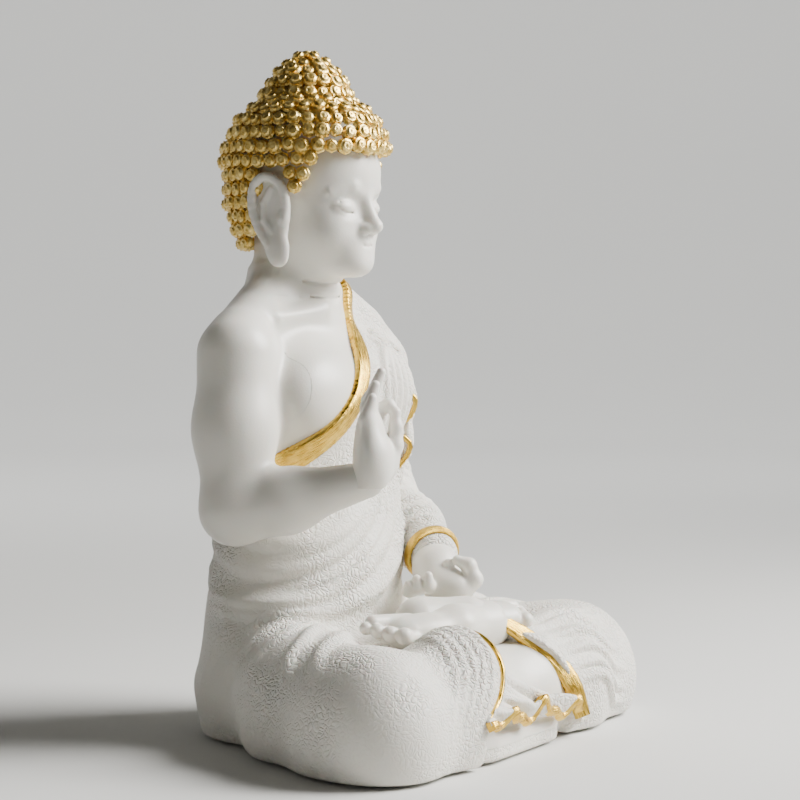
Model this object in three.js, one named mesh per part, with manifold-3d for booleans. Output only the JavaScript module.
// Seated buddha statue, about 400 mm tall: cast resin pieces, gilded trims, base plate and pads.
// Frame: millimetres, +Z up, the figure faces -Y, its left hand side is +X.
// The figure is laid out around its spine axis (x = 0, y = 0) and is then moved
// so that the origin is at the centre of the underside.
import * as THREE from 'three';
import { mergeVertices } from 'three/addons/utils/BufferGeometryUtils.js';
import { LoftGeometry } from 'three/addons/geometries/LoftGeometry.js';
import Module from 'manifold-3d';

const wasm = await Module();
wasm.setup();

// ---------------------------------------------------------------- driving dimensions

const gap = 0.3; // clearance between pieces that touch
const wall = 7; // wall of the hollow seat and torso castings
const padThickness = 1.5; // felt pads under the base plate
const padRadius = 9;
const plateThickness = 5; // board that closes the underside
const hemRise = 1.3; // gilded hems stand this proud of the cloth

const ledgeHeight = 60; // ledge in the seat that the torso stands on
const torsoHeight = 166; // ledge to the right shoulder joint
const neckRise = 43; // shoulder joint to the chin
const headHeight = 100; // chin to the crown of the hair cap
const knotHeight = 31; // hair knot above the crown
const knotRadius = 29;

const hipHalfWidth = 80;
const hipHalfDepth = 50;
const kneeHalfSpread = 121; // spine axis to a knee joint, sideways
const kneeForward = 127; // spine axis to a knee joint, forwards
const kneeRadius = 39;
const chestHalfWidth = 66;
const chestHalfDepth = 45;
const waistHalfWidth = 63;
const waistHalfDepth = 49;
const shoulderHalfSpread = 76;
const deltoidRadius = 24;
const upperArmLength = 90;
const sleeveEndRadius = 15;
const cuffWidth = 6;
const sleeveShoulderDrop = 14; // the draped shoulder sits lower than the bare one
const neckRadius = 25.5;
const headHalfWidth = 38;
const headHalfDepth = 41;
const hairThickness = 8; // hair cap over the skull
const earHeight = 53;
const handWidth = 28;
const footLength = 66;
const dowelRadius = 6;
const wristPinRadius = 2;
const apronHalfWidth = 64; // skirt of the robe in front of the shins
const apronForward = 171;

// ---------------------------------------------------------------- derived heights

const floorOfCasting = padThickness;
const shoulderHeight = ledgeHeight + torsoHeight;
const chinHeight = shoulderHeight + neckRise;
const crownHeight = chinHeight + headHeight;
const legHeight = 68; // floor to the top of the crossed legs

// ---------------------------------------------------------------- colours

const looks = {
  skin: { color: 0xefece4, roughness: 0.38, metalness: 0 },
  robe: { color: 0xebe8df, roughness: 0.55, metalness: 0 },
  gold: { color: 0xc9982f, roughness: 0.32, metalness: 0.9 },
  board: { color: 0xd8d4c8, roughness: 0.7, metalness: 0 },
  felt: { color: 0x3a3a38, roughness: 0.95, metalness: 0 },
  dowel: { color: 0xb08c5c, roughness: 0.7, metalness: 0 },
  steel: { color: 0x9a9da0, roughness: 0.35, metalness: 1 },
};

// ---------------------------------------------------------------- solids

const v = (x, y, z) => new THREE.Vector3(x, y, z);

// A closed geometry as a manifold solid.
function solid(geometry) {
  const bare = new THREE.BufferGeometry();
  bare.setAttribute('position', geometry.attributes.position);
  bare.setIndex(geometry.index);
  const merged = mergeVertices(bare, 1e-4);
  const mesh = new wasm.Mesh({
    numProp: 3,
    vertProperties: new Float32Array(merged.attributes.position.array),
    triVerts: new Uint32Array(merged.index.array),
  });
  return new wasm.Manifold(mesh);
}

// A manifold solid as a geometry, without its smallest loose chips.
function toGeometry(manifold) {
  const bodies = manifold.decompose();
  bodies.sort((a, b) => b.volume() - a.volume());
  const mesh = bodies[0].getMesh();
  const geometry = new THREE.BufferGeometry();
  geometry.setAttribute('position', new THREE.BufferAttribute(mesh.vertProperties, 3));
  geometry.setIndex(new THREE.BufferAttribute(mesh.triVerts, 1));
  geometry.computeVertexNormals();
  return geometry;
}

// Rows of numbers blended by a smooth curve, "steps" rows for each span.
function blendRows(rows, steps) {
  const count = (rows.length - 1) * steps;
  const width = rows[0].length;
  const curves = [];
  for (let first = 0; first < width; first += 3) {
    const points = rows.map((row) => v(row[first], row[first + 1] ?? 0, row[first + 2] ?? 0));
    curves.push(new THREE.CatmullRomCurve3(points, false, 'catmullrom', 0.5));
  }
  const blended = [];
  for (let i = 0; i <= count; i += 1) {
    const row = curves.flatMap((curve) => curve.getPoint(i / count).toArray());
    blended.push(row.slice(0, width));
  }
  return blended;
}

// A solid of level elliptical sections. Rows: height, centre forwards (y), half width, half depth.
// "grow" makes every half width and half depth larger and moves both ends outwards.
function column(rows, { sides = 28, steps = 2, grow = 0, x = 0 } = {}) {
  const blended = blendRows(rows, steps);
  const last = blended.length - 1;
  const sections = blended.map(([z, y, a, b], i) => {
    const end = (i === last ? 1 : 0) - (i === 0 ? 1 : 0);
    const section = [];
    for (let j = 0; j < sides; j += 1) {
      const angle = (j / sides) * 2 * Math.PI;
      const px = x + Math.cos(angle) * Math.max(a + grow, 0.5);
      const py = y + Math.sin(angle) * Math.max(b + grow, 0.5);
      section.push(v(px, py, z + end * Math.max(grow, 0)));
    }
    return section;
  });
  return solid(new LoftGeometry(sections, { capStart: true, capEnd: true }));
}

// A limb along a smooth path with rounded ends. Rows: x, y, z, half width, half height.
// The half height is measured near "up", the half width across it.
function limb(rows, { sides = 16, steps = 3, grow = 0, up = v(0, 0, 1), round = [1, 1] } = {}) {
  const blended = blendRows(rows, steps);
  const centre = blended.map((row) => v(row[0], row[1], row[2]));
  const sections = [];
  const last = blended.length - 1;
  const ring = (i, shift, scale) => {
    const along = centre[Math.min(i + 1, last)].clone().sub(centre[Math.max(i - 1, 0)]).normalize();
    const side = up.clone().cross(along).normalize();
    const lift = along.clone().cross(side);
    const section = [];
    for (let j = 0; j < sides; j += 1) {
      const angle = (j / sides) * 2 * Math.PI;
      const point = centre[i].clone().addScaledVector(along, shift);
      point.addScaledVector(side, Math.cos(angle) * (blended[i][3] + grow) * scale);
      point.addScaledVector(lift, Math.sin(angle) * (blended[i][4] + grow) * scale);
      section.push(point);
    }
    sections.push(section);
  };
  const domeSteps = [0.92, 0.55];
  const reach = (i) => Math.min(blended[i][3], blended[i][4]) + grow;
  domeSteps.forEach((s) => ring(0, -s * reach(0) * round[0], Math.sqrt(1 - s * s)));
  const flatEnd = (i) => (i === last && round[1] === 0 ? 1 : 0) - (i === 0 && round[0] === 0 ? 1 : 0);
  for (let i = 0; i <= last; i += 1) ring(i, flatEnd(i) * grow, 1);
  domeSteps.reverse();
  domeSteps.forEach((s) => ring(last, s * reach(last) * round[1], Math.sqrt(1 - s * s)));
  if (round[0] === 0) sections.splice(0, 2);
  if (round[1] === 0) sections.splice(-2, 2);
  return solid(new LoftGeometry(sections, { capStart: true, capEnd: true }));
}

// A rod between two points.
function rod(from, to, radius, sides = 16) {
  const geometry = new THREE.CylinderGeometry(radius, radius, from.distanceTo(to), sides);
  const turn = new THREE.Quaternion().setFromUnitVectors(v(0, 1, 0), to.clone().sub(from).normalize());
  geometry.applyQuaternion(turn);
  const middle = from.clone().add(to).multiplyScalar(0.5);
  geometry.translate(middle.x, middle.y, middle.z);
  return solid(geometry);
}

// A box from its lowest to its highest corner.
function block(low, high) {
  const size = high.clone().sub(low);
  const geometry = new THREE.BoxGeometry(size.x, size.y, size.z);
  geometry.translate((low.x + high.x) / 2, (low.y + high.y) / 2, (low.z + high.z) / 2);
  return solid(geometry);
}

// A prism: an outline drawn in the xz plane, pushed from one y to another.
function prismAlongY(outline, fromY, toY) {
  const shape = new THREE.Shape(outline.map(([x, z]) => new THREE.Vector2(x, z)));
  const geometry = new THREE.ExtrudeGeometry(shape, { depth: toY - fromY, bevelEnabled: false });
  geometry.rotateX(Math.PI / 2);
  geometry.translate(0, toY, 0);
  return solid(geometry);
}

// A prism: an outline drawn in the yz plane, pushed from one x to another.
function prismAlongX(outline, fromX, toX) {
  const shape = new THREE.Shape(outline.map(([y, z]) => new THREE.Vector2(y, z)));
  const geometry = new THREE.ExtrudeGeometry(shape, { depth: toX - fromX, bevelEnabled: false });
  geometry.applyMatrix4(new THREE.Matrix4().makeBasis(v(0, 1, 0), v(0, 0, 1), v(1, 0, 0)));
  geometry.translate(fromX, 0, 0);
  return solid(geometry);
}

// A strip of the given half width and half thickness along a smooth path.
function strip(points, halfWidth, halfThickness, { grow = 0, steps = 4, up = v(0, 0, 1) } = {}) {
  const rows = points.map((p) => [p.x, p.y, p.z, halfThickness, halfWidth]);
  return limb(rows, { sides: 6, steps, grow, up, round: [0.3, 0.3] });
}

const join = (solids) => solids.reduce((sum, item) => sum.add(item));
const cut = (body, ...tools) => tools.reduce((rest, tool) => rest.subtract(tool), body);
const mirror = ([x, ...rest]) => [-x, ...rest];

// ---------------------------------------------------------------- torso

// Height along the torso is a share of the way from the ledge to the shoulder joint.
function torso(grow = 0, detail = { sides: 26, steps: 2 }) {
  const at = (share) => ledgeHeight + share * torsoHeight;
  const above = (share) => shoulderHeight + share * neckRise;
  const rows = [
    [at(0), 0, waistHalfWidth, waistHalfDepth - 1],
    [at(0.22), -1, waistHalfWidth + 1, waistHalfDepth],
    [at(0.54), 1, chestHalfWidth - 3, chestHalfDepth],
    [at(0.78), 2, chestHalfWidth, chestHalfDepth],
    [at(0.93), 5, chestHalfWidth + 2, chestHalfDepth - 4],
    [above(0.35), 11, chestHalfWidth + 3, chestHalfDepth - 7],
    [above(0.66), 12, neckRadius + 26, chestHalfDepth - 10],
    [above(0.93), 11, neckRadius + 4, neckRadius + 3],
  ];
  return column(rows, { ...detail, grow });
}

function neck(grow = 0) {
  const rows = [
    [shoulderHeight + 24, 8, neckRadius, neckRadius],
    [chinHeight + 8, 7, neckRadius - 1, neckRadius],
    [chinHeight + 24, 4, neckRadius, neckRadius + 6],
  ];
  return column(rows, { sides: 32, steps: 2, grow });
}

// ---------------------------------------------------------------- arms

const rightShoulder = v(-shoulderHalfSpread, 1, shoulderHeight);
const rightElbow = v(-shoulderHalfSpread - 10, -7, shoulderHeight - upperArmLength);
const rightWrist = v(-shoulderHalfSpread + 18, -77, rightElbow.z + 19);
const leftShoulder = v(shoulderHalfSpread - 3, 4, shoulderHeight - sleeveShoulderDrop);
const leftElbow = v(shoulderHalfSpread + 10, 0, leftShoulder.z - upperArmLength + 8);
const leftWrist = v(shoulderHalfSpread - 34, -62, leftElbow.z - 29);

function rightArm(grow = 0) {
  const upper = rightShoulder.clone().lerp(rightElbow, 0.45);
  const fore = rightElbow.clone().lerp(rightWrist, 0.4);
  const rows = [
    [...rightShoulder.toArray(), deltoidRadius, deltoidRadius],
    [...upper.toArray(), deltoidRadius - 2, deltoidRadius - 2],
    [...rightElbow.toArray(), deltoidRadius - 4, deltoidRadius - 3],
    [...fore.toArray(), deltoidRadius - 7, deltoidRadius - 6],
    [...rightWrist.toArray(), deltoidRadius - 12, deltoidRadius - 11],
  ];
  return limb(rows, { sides: 14, steps: 2, grow, up: v(1, 0, 0.3), round: [1, 0] });
}

function leftSleeve(grow = 0) {
  const upper = leftShoulder.clone().lerp(leftElbow, 0.5).add(v(-2, 3, 0));
  const fore = leftElbow.clone().lerp(leftWrist, 0.5).add(v(-1, -4, 0));
  const rows = [
    [...leftShoulder.toArray(), deltoidRadius + 1, deltoidRadius + 1],
    [...upper.toArray(), deltoidRadius - 3, deltoidRadius - 3],
    [...leftElbow.toArray(), deltoidRadius, deltoidRadius],
    [...fore.toArray(), deltoidRadius - 5, deltoidRadius - 5],
    [...leftWrist.toArray(), sleeveEndRadius, sleeveEndRadius],
  ];
  return limb(rows, { sides: 14, steps: 2, grow, up: v(1, 0, 0.3), round: [1, 0] });
}

// The gilded cuff is a ring round the end of the sleeve.
function sleeveCuff(grow = 0) {
  const along = leftWrist.clone().sub(leftElbow).normalize();
  const from = leftWrist.clone().addScaledVector(along, -cuffWidth - grow);
  const to = leftWrist.clone().addScaledVector(along, grow);
  const radius = sleeveEndRadius + hemRise;
  const outer = rod(from, to, radius + grow, 24);
  const over = along.clone().multiplyScalar(5);
  const inner = rod(from.clone().sub(over), to.clone().add(over), radius - 2.6 - grow, 24);
  return cut(outer, inner);
}

// ---------------------------------------------------------------- hands

// A finger from its root through its joints; the last radius is at the tip.
function finger(points, rootRadius, tipRadius) {
  const rows = points.map((p, i) => {
    const radius = THREE.MathUtils.lerp(rootRadius, tipRadius, i / (points.length - 1));
    return [p.x, p.y, p.z, radius, radius];
  });
  return limb(rows, { sides: 6, steps: 1, up: v(1, 0.2, 0.1) });
}

// The raised hand: palm to the front, thumb and first finger meeting in a ring.
function rightHand() {
  const w = handWidth / 2;
  const base = rightWrist.clone().add(v(1, -4, 0));
  const p = (x, y, z) => base.clone().add(v(x, y, z));
  const palm = limb([
    [...p(0, 0, -3).toArray(), w - 3, 12.5],
    [...p(0, -1, 9).toArray(), w - 1, 12],
    [...p(0, 1, 20).toArray(), w, 8.5],
    [...p(0, 2, 30).toArray(), w - 1, 6],
  ], { sides: 12, steps: 1, up: v(0, 1, 0), round: [0.3, 0.6] });
  const upright = [
    { x: 3.6, top: 63, lean: -7 },
    { x: -3.6, top: 61, lean: -4 },
    { x: -10.5, top: 50, lean: 2 },
  ];
  const fingers = upright.map(({ x, top, lean }) => finger(
    [p(x, 2, 26), p(x, 2, (top + 26) / 2 + 2), p(x, 2 + lean, top - 4)], 3.9, 2.9));
  const first = finger([p(10.5, 0, 27), p(12, -4, 40), p(13, -12, 38), p(13, -14, 27)], 4, 2.8);
  const thumb = finger([p(7, -8, 6), p(12, -13, 14), p(13, -14, 24)], 6, 3.4);
  return join([palm, ...fingers, first, thumb]);
}

// The resting hand: palm up in the lap, fingers towards the figure's right.
function leftHand(grow = 0) {
  const w = handWidth / 2;
  const towards = v(-0.86, -0.42, -0.22).normalize();
  const across = v(0.44, -0.86, 0).normalize();
  const p = (a, c, u) => leftWrist.clone().add(v(-1, -4, -2))
    .addScaledVector(towards, a).addScaledVector(across, c).add(v(0, 0, u));
  const palm = limb([
    [...p(-2, 0, 1).toArray(), 11, 9],
    [...p(12, 0, -1).toArray(), w + 3, 8],
    [...p(26, 0, -1).toArray(), w + 4, 7],
    [...p(34, 0, 0).toArray(), w + 2, 5],
  ], { sides: 12, steps: 1, grow, up: v(0, 0, 1), round: [0.3, 0.6] });
  const fingers = [-10.5, -3.5, 3.5, 10.5].map((c, i) => {
    const reach = [52, 56, 56, 50][i];
    return finger([p(31, c, 0), p(42, c, -1), p(reach, c, 3)], 3.9 + grow, 3 + grow);
  });
  const thumb = finger([p(13, 11, 2), p(24, 13, 8), p(33, 9, 9)], 5 + grow, 3.2 + grow);
  return join([palm, ...fingers, thumb]);
}

// ---------------------------------------------------------------- head

function skull(grow = 0) {
  const at = (share) => chinHeight + share * headHeight;
  const half = headHalfWidth;
  const deep = headHalfDepth;
  const rows = [
    [at(-0.02), -24, half - 28, deep - 31],
    [at(0.04), -20, half - 19, deep - 21],
    [at(0.16), -12, half - 11, deep - 11],
    [at(0.34), -6, half - 4, deep - 3],
    [at(0.55), -3, half - 1, deep],
    [at(0.75), 0, half, deep],
    [at(0.88), 0, half - 9, deep - 10],
    [at(0.93), 0, half - 22, deep - 24],
  ];
  return column(rows, { sides: 22, grow });
}

function ear(side, grow = 0) {
  const top = chinHeight + 56;
  const outline = [
    [-15, -14, 0], [-13, -4, 1], [-4, 0, 2], [6, -3, 2.5], [9, -13, 2.5], [5, -24, 2], [-1, -36, 1],
    [-3, -46, 0], [-8, -earHeight, 0], [-15, -earHeight + 3, 0], [-17, -earHeight + 14, 0], [-14, -26, 0],
  ];
  const points = outline.map(([y, z]) => v(0, y, top + z));
  const curve = new THREE.CatmullRomCurve3(points, true, 'catmullrom', 0.5);
  const centre = v(0, -5, top - earHeight / 2);
  const flat = curve.getPoints(40).slice(0, 40).map((p) => {
    const out = p.clone().sub(centre).normalize().multiplyScalar(grow);
    return [p.y + out.y, p.z + out.z];
  });
  const inner = headHalfWidth - 8 - grow;
  const outer = headHalfWidth + 7 + grow;
  return side > 0 ? prismAlongX(flat, inner, outer) : prismAlongX(flat, -outer, -inner);
}

// The dish of the ear, cut into its outer face.
function earDish(side) {
  const depth = 3.5;
  const face = headHalfWidth + 7;
  const from = v(side * (face - depth), -4, chinHeight + 41);
  const to = v(side * (face + 4), -4, chinHeight + 41);
  const geometry = new THREE.CylinderGeometry(6, 5, from.distanceTo(to), 20);
  geometry.scale(1, 1, 1.9);
  geometry.rotateZ(side > 0 ? -Math.PI / 2 : Math.PI / 2);
  geometry.translate((from.x + to.x) / 2, from.y, from.z);
  return solid(geometry);
}

// Hair cap: a dome with level ridges, one for each row of curls.
function hairDome(grow = 0) {
  const t = hairThickness;
  const half = headHalfWidth;
  const deep = headHalfDepth;
  const at = (share) => chinHeight + share * headHeight;
  const rows = [
    [at(0.14), 2, half + t - 8, deep + t - 15],
    [at(0.3), 0, half + t - 3, deep + t - 6],
    [at(0.5), 0, half + t - 1, deep + t - 1],
    [at(0.72), 0, half + t - 1, deep + t],
    [at(0.84), -1, half + t - 4, deep + t - 3],
    [at(0.93), -2, half + t - 10, deep + t - 10],
    [at(1), -2, half + t - 24, deep + t - 26],
  ];
  return column(rows, { sides: 24, steps: 2, grow });
}

// Everything behind the hairline: level over the brow, down in front of the ears, round them to the nape.
function hairRegion() {
  const brow = chinHeight + 69;
  const outline = [
    [-80, brow], [-36, brow - 1], [-26, brow - 10], [-20, brow - 26], [-15, brow - 26], [-10, brow - 12],
    [6, brow - 22], [10, brow - 40], [16, chinHeight + 15], [80, chinHeight + 15],
    [80, crownHeight + 40], [-80, crownHeight + 40],
  ];
  return prismAlongX(outline, -90, 90);
}

function crownKnot() {
  const z = (share) => crownHeight - 3 + share * (knotHeight + 3);
  const rows = [
    [z(0), 0, knotRadius, knotRadius],
    [z(0.3), 0, knotRadius * 0.9, knotRadius * 0.9],
    [z(0.55), 0, knotRadius * 0.7, knotRadius * 0.7],
    [z(0.78), 0, knotRadius * 0.4, knotRadius * 0.4],
    [z(0.92), 0, knotRadius * 0.16, knotRadius * 0.16],
    [z(1), 0, knotRadius * 0.08, knotRadius * 0.08],
  ];
  return column(rows, { sides: 18, steps: 2 });
}

// ---------------------------------------------------------------- seat

// Each leg is an oval limb whose underside is cut flat at the floor.
const legCentre = legHeight * 0.34;
const legRise = legHeight - legCentre;
const rightKnee = v(-kneeHalfSpread, -kneeForward, legCentre);

function leg(side, grow, detail = { sides: 16, steps: 2 }) {
  const flip = side > 0 ? mirror : (row) => row;
  const thigh = [
    [-44, -8, legCentre + 6, kneeRadius, legRise - 4],
    [-kneeHalfSpread * 0.7, -kneeForward * 0.45, legCentre + 3, kneeRadius, legRise],
    [-kneeHalfSpread * 0.92, -kneeForward * 0.82, legCentre, kneeRadius, legRise - 1],
    [rightKnee.x, rightKnee.y, rightKnee.z, kneeRadius - 8, legRise - 4],
  ];
  const shin = [
    [rightKnee.x + 4, rightKnee.y + 2, rightKnee.z, kneeRadius - 4, legRise - 3],
    [-kneeHalfSpread * 0.58, -kneeForward - 5, legCentre, kneeRadius - 6, legRise],
    [-kneeHalfSpread * 0.25, -kneeForward - 7, legCentre, kneeRadius - 9, legRise - 8],
    [22, -kneeForward - 2, legCentre, kneeRadius - 12, legRise - 12],
  ];
  return [thigh, shin].map((rows) => limb(rows.map(flip), { ...detail, grow }));
}

function hips(grow = 0, detail = { sides: 26, steps: 2 }) {
  const rows = [
    [floorOfCasting, -1, hipHalfWidth - 1, hipHalfDepth - 4],
    [14, 1, hipHalfWidth + 1, hipHalfDepth],
    [42, 1, hipHalfWidth, hipHalfDepth],
    [68, 1, hipHalfWidth - 5, hipHalfDepth + 1],
    [84, 1, waistHalfWidth + 7, waistHalfDepth + 3],
  ];
  return column(rows, { ...detail, grow });
}

// The lap is the cloth stretched between the thighs.
function lap(grow, detail = { sides: 16, steps: 1 }) {
  const rows = [[0, 5, 28, 62, 32], [0, -60, 28, 76, 34], [0, -112, 28, 88, 33]];
  return limb(rows, { ...detail, grow });
}

function apron(grow) {
  const rows = [
    [floorOfCasting, -kneeForward + 2, apronHalfWidth, apronForward - kneeForward + 2],
    [12, -kneeForward + 2, apronHalfWidth, apronForward - kneeForward],
    [22, -kneeForward + 2, apronHalfWidth - 6, apronForward - kneeForward - 6],
  ];
  return column(rows, { sides: 28, steps: 1, grow });
}

function seat(grow = 0) {
  const body = join([hips(grow), lap(grow), apron(grow), ...leg(-1, grow), ...leg(1, grow)]);
  const above = block(v(-300, -300, floorOfCasting), v(300, 300, crownHeight));
  return body.intersect(above);
}

// The mouth of the seat in the underside: half its outline, from the back round a knee to the front.
const mouthHalf = [
  [0, hipHalfDepth - 14], [hipHalfWidth * 0.55, hipHalfDepth - 20], [hipHalfWidth - 12, 4],
  [kneeHalfSpread * 0.8, -kneeForward * 0.5], [kneeHalfSpread + 6, -kneeForward * 0.86],
  [kneeHalfSpread, -kneeForward - 11], [kneeHalfSpread * 0.7, -kneeForward - 18],
  [apronHalfWidth * 0.5, -kneeForward - 20], [0, -kneeForward - 22],
];

function mouth(inset, fromZ, toZ) {
  const middle = v(0, -kneeForward / 2, 0);
  const right = mouthHalf.map(([x, y]) => v(x, y, 0));
  const left = mouthHalf.slice(1, -1).reverse().map(([x, y]) => v(-x, y, 0));
  const curve = new THREE.CatmullRomCurve3([...right, ...left], true, 'catmullrom', 0.5);
  const outline = curve.getPoints(48).slice(0, 48).map((point) => {
    const inwards = middle.clone().sub(point).normalize().multiplyScalar(inset);
    return new THREE.Vector2(point.x + inwards.x, point.y + inwards.y);
  });
  const shape = new THREE.Shape(outline);
  const geometry = new THREE.ExtrudeGeometry(shape, { depth: toZ - fromZ, bevelEnabled: false });
  geometry.translate(0, 0, fromZ);
  return solid(geometry);
}

// The board fits the mouth from below and lies on the pads.
const plateBottom = padThickness + gap;
const plateTop = plateBottom + plateThickness;
const basePlate = () => mouth(2 * gap, plateBottom, plateTop);

// The hollow of the seat, open at the underside, and the well under the torso.
function seatHollow() {
  const coarse = { sides: 12, steps: 1 };
  const legs = [...leg(-1, -wall, coarse), ...leg(1, -wall, coarse)];
  const shape = join([hips(-wall, coarse), lap(-wall, coarse), ...legs]);
  const low = v(-300, -300, plateTop);
  const inside = shape.intersect(block(low, v(300, 300, ledgeHeight - wall)));
  return inside.add(mouth(0, -1, plateTop + gap));
}

function torsoWell() {
  const rows = [
    [ledgeHeight - wall - 4, 0, waistHalfWidth - 8, waistHalfDepth - 10],
    [ledgeHeight + 2, 0, waistHalfWidth - 8, waistHalfDepth - 10],
  ];
  return column(rows, { sides: 20, steps: 1 });
}

function torsoHollow() {
  const body = torso(-wall, { sides: 14, steps: 1 });
  const top = shoulderHeight + 4;
  const rows = [
    [ledgeHeight - 5, 0, waistHalfWidth - 8, waistHalfDepth - 10],
    [ledgeHeight + wall + 6, 0, waistHalfWidth - 8, waistHalfDepth - 10],
  ];
  const mouth = column(rows, { sides: 20, steps: 1 });
  return body.intersect(block(v(-200, -200, ledgeHeight), v(200, 200, top))).add(mouth);
}

// Felt pads: two near the hips, two near the knees.
function feltPad(x, y) {
  return rod(v(x, y, 0), v(x, y, padThickness), padRadius, 20);
}

// ---------------------------------------------------------------- feet

// A foot lying sole up on the opposite thigh; side is where its toes point.
function foot(side, grow = 0) {
  const top = legHeight - 1;
  const heel = side > 0 ? v(9, -119, top) : v(-8, -99, top - 3);
  const toes = heel.clone().add(v(side * footLength, side > 0 ? 8 : 14, -5));
  const along = toes.clone().sub(heel).normalize();
  const across = along.clone().cross(v(0, 0, 1)).normalize();
  const p = (a, c, u) => heel.clone().addScaledVector(along, a).addScaledVector(across, c).add(v(0, 0, u));
  const sole = limb([
    [...p(0, 0, -2).toArray(), 10, 9],
    [...p(20, 0, -2).toArray(), 11, 9],
    [...p(40, 0, -1).toArray(), 14, 8],
    [...p(footLength - 8, 0, -1).toArray(), 13, 6],
  ], { sides: 12, steps: 1, grow });
  const toeRadii = [4.4, 3.6, 3.4, 3.2, 3];
  const toeSolids = toeRadii.map((radius, i) => {
    const c = (10 - 5.2 * i) * side;
    const points = [p(footLength - 12, c, 1), p(footLength - 2 - i, c, 1)];
    return finger(points, radius + grow, radius - 0.4 + grow);
  });
  return join([sole, ...toeSolids]);
}

// ---------------------------------------------------------------- drapery

// The slanting strip round the body where the edge of the robe lies, wider low on the chest.
function chestHemBand() {
  const low = v(-chestHalfWidth - 14, 0, ledgeHeight + 0.5 * torsoHeight);
  const high = v(neckRadius + 20, 0, shoulderHeight + 60);
  const slope = [[low.x, low.z + 9], [low.x, low.z - 8], [high.x + 4, high.z - 8], [high.x - 2, high.z + 4]];
  return prismAlongY(slope, -90, 100);
}

function shoulderCascade(grow = 0) {
  const top = leftShoulder.z + 20;
  const front = -chestHalfDepth;
  const rows = [
    [52, front + 27, top + 2, 13, 11],
    [53, front + 15, top - 14, 14, 11],
    [51, front + 9, top - 42, 13, 11],
    [48, front + 8, top - 68, 12, 11],
    [44, front + 6, top - 88, 10, 10],
  ];
  return limb(rows, { sides: 10, steps: 1, grow, up: v(0.2, -1, 0) });
}

// The gilded edge of the cascade swings from side to side as the pleats fold back.
function cascadeHem(grow = 0) {
  const top = leftShoulder.z - 14;
  const turns = 6;
  const fall = 56;
  const points = [];
  for (let i = 0; i <= turns; i += 1) {
    const swing = i % 2 === 0 ? 11 : -1;
    points.push(v(50 + swing - 0.8 * i, -chestHalfDepth - 2.5 - (i % 2), top - (i / turns) * fall));
  }
  return strip(points, 1.6, 1.2, { grow, steps: 3, up: v(1, 0, 0) });
}

// A gilded hem on the legs: the skin of the seat between two slanting cuts, in front only.
function kneeHem(outline, lowY, seatOuter, seatInner) {
  return cut(seatOuter.intersect(prismAlongY(outline, lowY, -100)), seatInner);
}

function frontFan(grow = 0) {
  const rows = [
    [-44, -kneeForward - 22, 47, 6, 6],
    [-26, -kneeForward - 31, 33, 10, 16],
    [0, -kneeForward - 35, 25, 9, 15],
    [30, -kneeForward - 32, 21, 7, 10],
  ];
  return limb(rows, { sides: 16, steps: 4, grow });
}

function fanHem(grow = 0) {
  const points = [];
  const waves = 8;
  for (let i = 0; i <= waves; i += 1) {
    const x = -64 + (i / waves) * 104;
    const bulge = Math.sqrt(Math.max(1 - (x / (apronHalfWidth + 6)) ** 2, 0.02));
    const y = -kneeForward - 2 - (apronForward - kneeForward + 2) * bulge;
    points.push(v(x, y, 13 + (i % 2) * 5));
  }
  return strip(points, 2, 1.3, { grow, steps: 3 });
}

// ---------------------------------------------------------------- assembly

const statue = new THREE.Group();

function add(name, manifold, look) {
  const mesh = new THREE.Mesh(toGeometry(manifold), new THREE.MeshStandardMaterial(looks[look]));
  mesh.name = name;
  statue.add(mesh);
}

const dowelFrom = v(0, 8, shoulderHeight - 4);
const dowelTo = v(0, 8, chinHeight + 22);
const neckDowel = (grow) => rod(
  dowelFrom.clone().add(v(0, 0, -grow)), dowelTo.clone().add(v(0, 0, grow)), dowelRadius + grow, 20);
const wristPin = (from, to, grow) => {
  const along = to.clone().sub(from).normalize().multiplyScalar(grow);
  return rod(from.clone().sub(along), to.clone().add(along), wristPinRadius + grow, 12);
};
const rightPinEnds = [rightWrist.clone().add(v(-1, 10, -4)), rightWrist.clone().add(v(0, -3, 9))];
const leftPinEnds = [
  leftWrist.clone().lerp(leftElbow, 0.14),
  leftWrist.clone().add(v(-11, -8, -3)),
];

// Wrist joint faces: the hand begins one clearance past the end of the arm.
const rightHandSolid = cut(rightHand(), rightArm(gap), wristPin(...rightPinEnds, gap));
const leftHandSolid = cut(leftHand(), leftSleeve(gap), sleeveCuff(gap), wristPin(...leftPinEnds, gap));

const headSolid = join([skull(), neck()]);
const headGrown = join([skull(gap), neck(gap)]);
const ears = [-1, 1].map((side) => cut(ear(side), headGrown, earDish(side)));
const hairCap = cut(hairDome().intersect(hairRegion()), headGrown, ear(-1, gap), ear(1, gap));

const hemBand = chestHemBand();
const cascade = shoulderCascade();
const torsoSolid = cut(
  torso(), torsoHollow(), rightArm(gap), leftSleeve(gap), neck(gap), neckDowel(gap));
const chestHem = cut(
  torso(hemRise).intersect(hemBand),
  torso(gap), rightArm(gap), leftSleeve(gap), neck(gap), shoulderCascade(gap));

const seatOuter = seat(hemRise);
const seatInner = seat(gap);
const rightKneeHemBand = [[-40, 90], [-46, 90], [-52, 56], [-72, 22], [-67, 20], [-46, 54]];
const leftKneeHemBand = [[33, 90], [18, 90], [19, 62], [29, 34], [38, 20], [48, 18], [44, 38], [35, 60]];
const rightKneeHem = cut(kneeHem(rightKneeHemBand, -200, seatOuter, seatInner), foot(-1, gap));
const leftKneeHem = cut(kneeHem(leftKneeHemBand, -200, seatOuter, seatInner), foot(1, gap));

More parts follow.
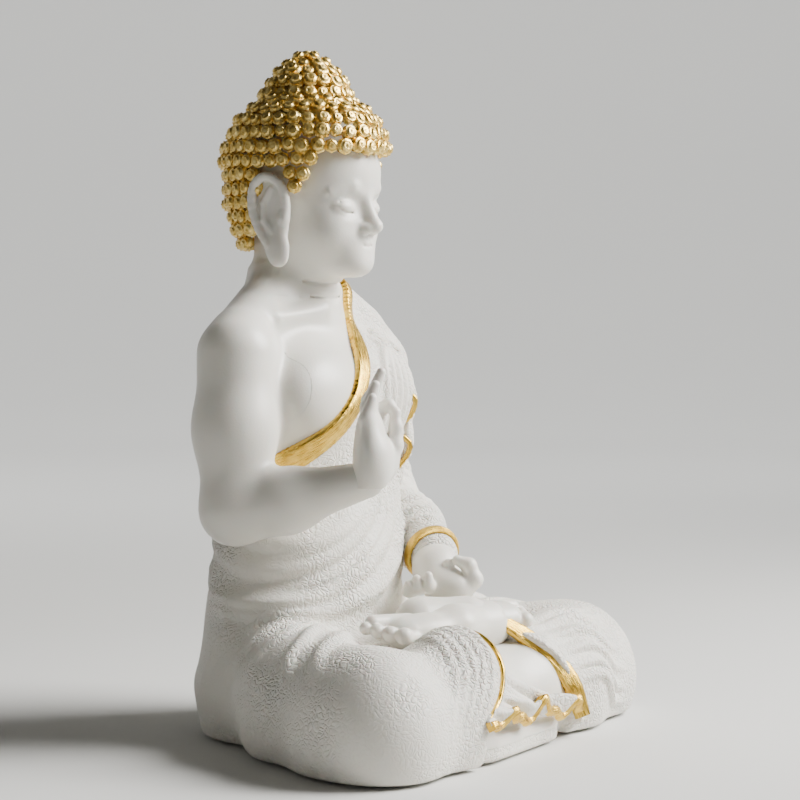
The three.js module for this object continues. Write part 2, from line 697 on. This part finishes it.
const hemZone = (outline) => {
  const band = prismAlongY(outline, -200, -100);
  return band.translate(-gap, 0, 0).add(band.translate(gap, 0, 0)).intersect(seat(hemRise + gap));
};
const fan = cut(frontFan(), seat(gap), fanHem(gap), hemZone(rightKneeHemBand), hemZone(leftKneeHemBand));
const seatSolid = cut(
  seat(), torso(gap), seatHollow(), torsoWell(), foot(-1, gap), foot(1, gap), leftHand(gap), fanHem(gap));

add('seat_casting', seatSolid, 'robe');
add('torso_casting', torsoSolid, 'robe');
add('right_arm', cut(rightArm(), wristPin(...rightPinEnds, gap)), 'skin');
add('right_hand', rightHandSolid, 'skin');
add('left_sleeve', cut(leftSleeve(), sleeveCuff(gap), wristPin(...leftPinEnds, gap)), 'robe');
add('left_hand', leftHandSolid, 'skin');
add('head', cut(headSolid, neckDowel(gap)), 'skin');
add('right_ear', ears[0], 'skin');
add('left_ear', ears[1], 'skin');
add('hair_cap', hairCap, 'gold');
add('crown_knot', cut(crownKnot(), hairDome(gap)), 'gold');
add('chest_hem', chestHem, 'gold');
add('shoulder_cascade', cut(cascade, torso(gap), leftSleeve(gap), cascadeHem(gap)), 'robe');
add('cascade_hem', cascadeHem(), 'gold');
add('sleeve_cuff', sleeveCuff(), 'gold');
add('left_foot', foot(-1), 'skin');
add('right_foot', foot(1), 'skin');
add('right_knee_hem', rightKneeHem, 'gold');
add('left_knee_hem', leftKneeHem, 'gold');
add('front_fan', fan, 'robe');
add('fan_hem', fanHem(), 'gold');
add('base_plate', basePlate(), 'board');
const padPlaces = [
  [-hipHalfWidth / 2, -15], [hipHalfWidth / 2, -15],
  [-kneeHalfSpread + 24, -kneeForward + 4], [kneeHalfSpread - 24, -kneeForward + 4],
];
padPlaces.forEach(([x, y], i) => add(`felt_pad_${i + 1}`, feltPad(x, y), 'felt'));
add('neck_dowel', neckDowel(0), 'dowel');
add('right_wrist_pin', wristPin(...rightPinEnds, 0), 'steel');
add('left_wrist_pin', wristPin(...leftPinEnds, 0), 'steel');

// The origin moves to the centre of the underside.
const box = new THREE.Box3().setFromObject(statue);
const middle = box.getCenter(v(0, 0, 0));
statue.position.set(-middle.x, -middle.y, -box.min.z);
const placed = new THREE.Group();
placed.add(statue);

export default placed;
